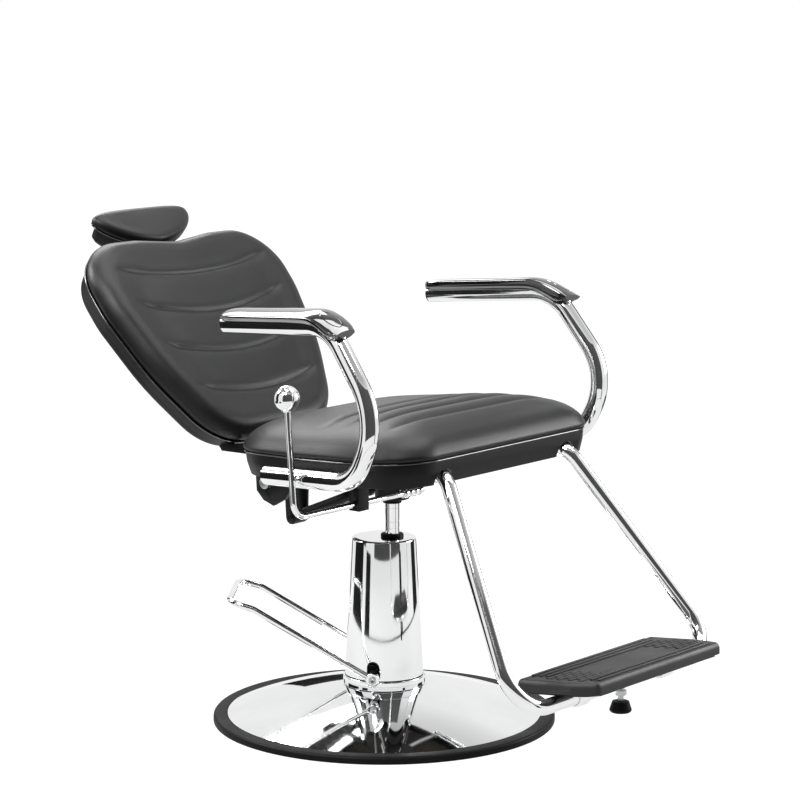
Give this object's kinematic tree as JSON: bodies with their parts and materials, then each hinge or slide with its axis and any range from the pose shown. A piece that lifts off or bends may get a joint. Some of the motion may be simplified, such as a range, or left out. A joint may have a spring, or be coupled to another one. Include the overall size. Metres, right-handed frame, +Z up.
{
  "type": "hydraulic barber chair",
  "caption": "Hydraulic barber chair on a round chromed base with foot pump, reclining padded back, sliding headrest, chromed arms and a tread footrest.",
  "frame": {"origin": "on the floor, on the axis of the lifting piston that the seat swivels on, with the chair as pictured", "axes": "+Z up, the sitter faces -Y, and +X is the sitter's left"},
  "size_m": [0.6767, 1.1979, 0.8629],
  "materials": {
    "chrome": "bright mirror-like chrome plate",
    "steel": "plain machined steel",
    "black_steel": "black paint, low sheen",
    "rubber": "matte dark grey rubber",
    "vinyl": "charcoal upholstery vinyl with a fine grain and a soft sheen",
    "satin_plastic": "black moulded plastic, satin",
    "gloss_plastic": "black moulded plastic, glossy",
    "plywood": "black-stained plywood"
  },
  "bodies": {
    "base": {"base_rubber_ring": "rubber", "base_plate": "steel", "base_dish": "chrome", "base_collar": "chrome", "pump_cover": "chrome", "pump_body": "black_steel", "rod_wiper": "rubber", "plunger_spring": "steel"},
    "plunger": {"pump_plunger": "steel"},
    "pedal": {"pedal_bar": "chrome", "pedal_shaft": "steel"},
    "piston": {"piston_rod": "chrome", "piston_collar": "rubber"},
    "seat": {"seat_cushion": "vinyl", "seat_shell": "satin_plastic", "seat_board": "plywood", "frame_rail_left": "black_steel", "frame_rail_right": "black_steel", "frame_cross_front": "black_steel", "frame_cross_rear": "black_steel", "mount_plate": "black_steel", "seat_socket": "black_steel", "hinge_plate_left": "black_steel", "hinge_plate_right": "black_steel", "hinge_pin_left": "steel", "hinge_pin_right": "steel", "gas_bracket": "black_steel", "arm_tube_left": "chrome", "arm_tube_right": "chrome", "arm_pad_left": "gloss_plastic", "arm_pad_right": "gloss_plastic", "arm_plug_left": "gloss_plastic", "arm_plug_right": "gloss_plastic", "arm_rod_front": "steel", "arm_rod_rear": "steel", "footrest_tube": "chrome", "tread_plate": "black_steel", "tread_mat": "rubber", "tread_clamp_left": "chrome", "tread_clamp_right": "chrome", "bumper_cup": "rubber", "bumper_stem": "steel", "lever_clamp": "black_steel"},
    "lever": {"lever_rod": "chrome", "lever_knob": "chrome", "lever_sleeve": "chrome"},
    "gas_rod": {"gas_rod": "chrome"},
    "gas_cylinder": {"gas_cylinder": "black_steel"},
    "backrest": {"back_arm_left": "black_steel", "back_arm_right": "black_steel", "gas_yoke": "black_steel", "back_cushion": "vinyl", "back_shell": "satin_plastic", "back_board": "plywood", "headrest_guide": "black_steel"},
    "head_post": {"headrest_post": "chrome"},
    "headrest": {"headrest_cushion": "vinyl", "headrest_shell": "satin_plastic", "headrest_bracket": "black_steel"}
  },
  "joints": [
    {"name": "column_lift", "type": "slide", "parent": "base", "child": "piston", "axis": [0, 0, 1], "range_m": [-0.05, 0.09]},
    {"name": "seat_swivel", "type": "hinge", "parent": "piston", "child": "seat", "pos_m": [0, 0, 0.42], "axis": [0, 0, 1], "continuous": true},
    {"name": "pump_pedal", "type": "hinge", "parent": "base", "child": "pedal", "pos_m": [-0.01819, 0.02423, 0.09], "axis": [-0.7997, -0.6004, 0], "range_deg": [0, 24], "stiffness_Nm_per_rad": 8, "springref_deg": -17.19},
    {"name": "plunger_stroke", "type": "slide", "parent": "base", "child": "plunger", "axis": [0, 0, -1], "range_m": [0, 0.0093], "deforming": ["plunger_spring"]},
    {"name": "backrest_recline", "type": "hinge", "parent": "seat", "child": "backrest", "pos_m": [0, 0.198, 0.412], "axis": [-1, 0, 0], "range_deg": [-26, 9]},
    {"name": "gas_pivot", "type": "hinge", "parent": "seat", "child": "gas_rod", "pos_m": [0, 0.046, 0.404], "axis": [-1, 0, 0], "range_deg": [-7.9, 2.9]},
    {"name": "gas_slide", "type": "slide", "parent": "gas_rod", "child": "gas_cylinder", "axis": [0, 0.924, -0.3824], "range_m": [-0.01, 0.0275]},
    {"name": "recline_lever", "type": "hinge", "parent": "seat", "child": "lever", "pos_m": [-0.155, -0.055, 0.413], "axis": [-1, 0, 0], "range_deg": [0, 14], "stiffness_Nm_per_rad": 4, "springref_deg": -8.59},
    {"name": "headrest_height", "type": "slide", "parent": "backrest", "child": "head_post", "axis": [0, 0.6307, 0.776], "range_m": [0, 0.1]},
    {"name": "headrest_tilt", "type": "hinge", "parent": "head_post", "child": "headrest", "pos_m": [0, 0.5721, 0.7922], "axis": [-1, 0, 0], "range_deg": [-6, 30]}
  ],
  "couplings": [
    {"joint": "plunger_stroke", "follows": "pump_pedal", "m_per_rad": 0.022},
    {"joint": "gas_pivot", "follows": "backrest_recline", "ratio": 0.2907},
    {"joint": "gas_slide", "follows": "backrest_recline", "m_per_rad": -0.0595}
  ]
}
